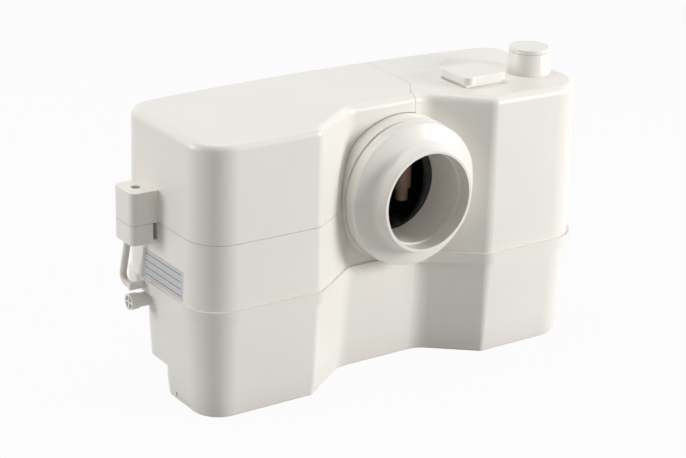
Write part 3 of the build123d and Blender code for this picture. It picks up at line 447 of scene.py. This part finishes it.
# Motor housing and its end shields: die-cast aluminium with a sandy skin.
# Upright cooling ribs stand round the housing, cast with it.
cast_aluminium = surface("cast_aluminium", (0.42, 0.42, 0.43, 1), (0.27, 0.27, 0.28, 1), (0.4, 0.6),
                         metal=1.0,
                         grain=900.0, relief=0.5)
dress(("motor_housing", "lower_shield", "upper_shield"), cast_aluminium)
rib_count = 40
rib_width = 0.0016
rib_depth = 0.003
housing_low, housing_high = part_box("motor_housing")
housing_middle = (housing_low + housing_high) / 2
housing_radius = (housing_high.x - housing_low.x) / 2
rib_share = 0.94
rib_length = (housing_high.z - housing_low.z) * rib_share
sharp_fold = radians(40)


def bar(name, size, round_edge):
    """Small bar about the origin with rounded edges, the one shape that a row or ring repeats."""
    mesh = bpy.data.meshes.new(name)
    form = bmesh.new()
    bmesh.ops.create_cube(form, size=1.0)
    bmesh.ops.scale(form, vec=size, verts=form.verts)
    bmesh.ops.bevel(form, geom=form.edges[:], offset=round_edge, segments=2, affect="EDGES", profile=0.5)
    form.to_mesh(mesh)
    form.free()
    host = bpy.data.objects.new(name, mesh)
    scene.collection.objects.link(host)
    return host


def open_tree(name, inputs):
    """New geometry tree with a geometry input, the given named inputs and a material input."""
    tree = bpy.data.node_groups.new(name, "GeometryNodeTree")
    tree.interface.new_socket("Shape", in_out="INPUT", socket_type="NodeSocketGeometry")
    for label, kind in inputs.items():
        tree.interface.new_socket(label, in_out="INPUT", socket_type=kind)
    tree.interface.new_socket("Finish", in_out="INPUT", socket_type="NodeSocketMaterial")
    tree.interface.new_socket("Geometry", in_out="OUTPUT", socket_type="NodeSocketGeometry")
    return tree, tree.nodes.new("NodeGroupInput")


def close_tree(tree, source, copies):
    """Ends a tree: turns and moves the copies, makes them real and gives them their finish."""
    laid = tree.nodes.new("GeometryNodeTransform")
    tree.links.new(copies, laid.inputs["Geometry"])
    tree.links.new(source.outputs["Middle"], laid.inputs["Translation"])
    tree.links.new(source.outputs["Turn"], laid.inputs["Rotation"])
    real = tree.nodes.new("GeometryNodeRealizeInstances")
    tree.links.new(laid.outputs["Geometry"], real.inputs["Geometry"])
    finish = tree.nodes.new("GeometryNodeSetMaterial")
    tree.links.new(real.outputs["Geometry"], finish.inputs["Geometry"])
    tree.links.new(source.outputs["Finish"], finish.inputs["Material"])
    result = tree.nodes.new("NodeGroupOutput")
    tree.links.new(finish.outputs["Geometry"], result.inputs["Geometry"])


def settle(host, tree, **values):
    """Runs a tree on its one shape and returns the result as a plain piece of the same name."""
    name = host.name
    modifier = host.modifiers.new(name, "NODES")
    modifier.node_group = tree
    for socket in tree.interface.items_tree:
        if socket.in_out == "INPUT" and socket.name in values:
            modifier[socket.identifier] = values[socket.name]
    graph = bpy.context.evaluated_depsgraph_get()
    mesh = bpy.data.meshes.new_from_object(host.evaluated_get(graph))
    bpy.data.objects.remove(host)
    piece = bpy.data.objects.new(name, mesh)
    scene.collection.objects.link(piece)
    for face in mesh.polygons:
        face.use_smooth = True
    mesh.set_sharp_from_angle(angle=sharp_fold)
    return piece


ring_tree, ring_source = open_tree("ring_of_bars", {
    "Count": "NodeSocketInt", "Radius": "NodeSocketFloat", "Middle": "NodeSocketVector",
    "Turn": "NodeSocketVector"})
ring_line = ring_tree.nodes.new("GeometryNodeMeshCircle")
ring_tree.links.new(ring_source.outputs["Count"], ring_line.inputs["Vertices"])
ring_tree.links.new(ring_source.outputs["Radius"], ring_line.inputs["Radius"])
ring_place = ring_tree.nodes.new("GeometryNodeInputPosition")
ring_facing = ring_tree.nodes.new("FunctionNodeAlignRotationToVector")
ring_facing.axis = "X"
ring_tree.links.new(ring_place.outputs["Position"], ring_facing.inputs["Vector"])
ring_copies = ring_tree.nodes.new("GeometryNodeInstanceOnPoints")
ring_tree.links.new(ring_line.outputs["Mesh"], ring_copies.inputs["Points"])
ring_tree.links.new(ring_source.outputs["Shape"], ring_copies.inputs["Instance"])
ring_tree.links.new(ring_facing.outputs["Rotation"], ring_copies.inputs["Rotation"])
close_tree(ring_tree, ring_source, ring_copies.outputs["Instances"])

housing_ribs = settle(bar("housing_ribs", (rib_depth, rib_width, rib_length), rib_width / 4), ring_tree,
                      Count=rib_count, Radius=housing_radius + rib_depth / 3, Middle=housing_middle[:],
                      Turn=(0.0, 0.0, 0.0), Finish=cast_aluminium)
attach(housing_ribs, "box")

# Control board: green laminate on its black holder, with a relay, a choke, a terminal block and rows of
# solder pins; the parts stand on the board's front face.
board_laminate = surface("board_laminate", (0.035, 0.16, 0.06, 1), (0.02, 0.10, 0.035, 1), (0.3, 0.45),
                         grain=260.0, relief=0.1)
dress(("control_board",), board_laminate)
board_low, board_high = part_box("control_board")
board_middle = (board_low + board_high) / 2
board_face = board_low.y
pin_size = 0.0014
pin_columns = 16
pin_rows = 3
row_width = 0.058
row_height = 0.009
block_plan = {
    "board_relay": ((0.026, 0.016, 0.019), (-0.018, 0.018)),
    "board_choke": ((0.016, 0.014, 0.016), (0.014, 0.020)),
    "board_terminals": ((0.044, 0.010, 0.012), (-0.004, -0.026)),
}
block_round = 0.0012

grid_tree, grid_source = open_tree("rows_of_bars", {
    "Columns": "NodeSocketInt", "Rows": "NodeSocketInt", "Width": "NodeSocketFloat",
    "Height": "NodeSocketFloat", "Middle": "NodeSocketVector", "Turn": "NodeSocketVector"})
grid_points = grid_tree.nodes.new("GeometryNodeMeshGrid")
for grid_value, grid_socket in (("Columns", "Vertices X"), ("Rows", "Vertices Y"), ("Width", "Size X"),
                                ("Height", "Size Y")):
    grid_tree.links.new(grid_source.outputs[grid_value], grid_points.inputs[grid_socket])
grid_copies = grid_tree.nodes.new("GeometryNodeInstanceOnPoints")
grid_tree.links.new(grid_points.outputs["Mesh"], grid_copies.inputs["Points"])
grid_tree.links.new(grid_source.outputs["Shape"], grid_copies.inputs["Instance"])
close_tree(grid_tree, grid_source, grid_copies.outputs["Instances"])

board_pins = settle(bar("board_pins", (pin_size, pin_size, pin_size), pin_size / 4), grid_tree,
                    Columns=pin_columns, Rows=pin_rows, Width=row_width, Height=row_height,
                    Middle=(board_middle.x, board_face, board_middle.z - row_height),
                    Turn=(radians(90), 0.0, 0.0),
                    Finish=turned_steel)
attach(board_pins, "box")
for block_name, (block_size, block_shift) in block_plan.items():
    block = bar(block_name, block_size, block_round)
    block_place = (board_middle.x + block_shift[0], board_face - block_size[1] / 2,
                   board_middle.z + block_shift[1])
    block.data.transform(Matrix.Translation(block_place))
    block.data.materials.append(black_moulding_and_shade)
    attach(block, "box")

# Cable gland: a black nut screwed against the rear of the box, where the mains cord goes in.
# Grip flutes, moulded with it, stand all round its edge.
gland_low, gland_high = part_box("cable_gland")
flute_count = 24
flute_width = 0.0012
flute_depth = 0.0014
flute_length = 0.002
gland_radius = (gland_high.x - gland_low.x) / 2
flute_set_back = flute_length * 0.6
gland_middle = ((gland_low.x + gland_high.x) / 2, gland_high.y - flute_set_back,
                (gland_low.z + gland_high.z) / 2)
flute = bar("gland_flutes", (flute_depth, flute_width, flute_length), flute_width / 4)
gland_flutes = settle(flute, ring_tree,
                      Count=flute_count, Radius=gland_radius, Middle=gland_middle,
                      Turn=(radians(90), 0.0, 0.0), Finish=black_moulding_and_shade)
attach(gland_flutes, "box")

# Rating plate: a pale grey film, stuck in a shallow recess of the left end.
# It carries printed rules, and no words.
plate_film = surface("plate_film", (0.62, 0.63, 0.63, 1), (0.56, 0.57, 0.57, 1), (0.3, 0.4), grain=400.0,
                     relief=0.05)
dress(("rating_plate",), plate_film)
rule_ink = surface("rule_ink", (0.10, 0.105, 0.11, 1), (0.06, 0.062, 0.065, 1), (0.45, 0.6), grain=500.0,
                   relief=0.05)
plate_low, plate_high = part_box("rating_plate")
plate_middle = (plate_low + plate_high) / 2
ink_thickness = 0.00012
rule_width = 0.0007
plate_margin = 0.004
rule_rows = 4
rule_length = plate_high.y - plate_low.y - plate_margin * 2
rule_spread = plate_high.z - plate_low.z - plate_margin * 2
rule = bar("plate_rules", (rule_length, rule_width, ink_thickness), ink_thickness / 4)
plate_rules = settle(rule, grid_tree,
                     Columns=1, Rows=rule_rows, Width=0.0, Height=rule_spread,
                     Middle=(plate_low.x, plate_middle.y, plate_middle.z),
                     Turn=(radians(90), 0.0, radians(90)), Finish=rule_ink)
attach(plate_rules, "box")
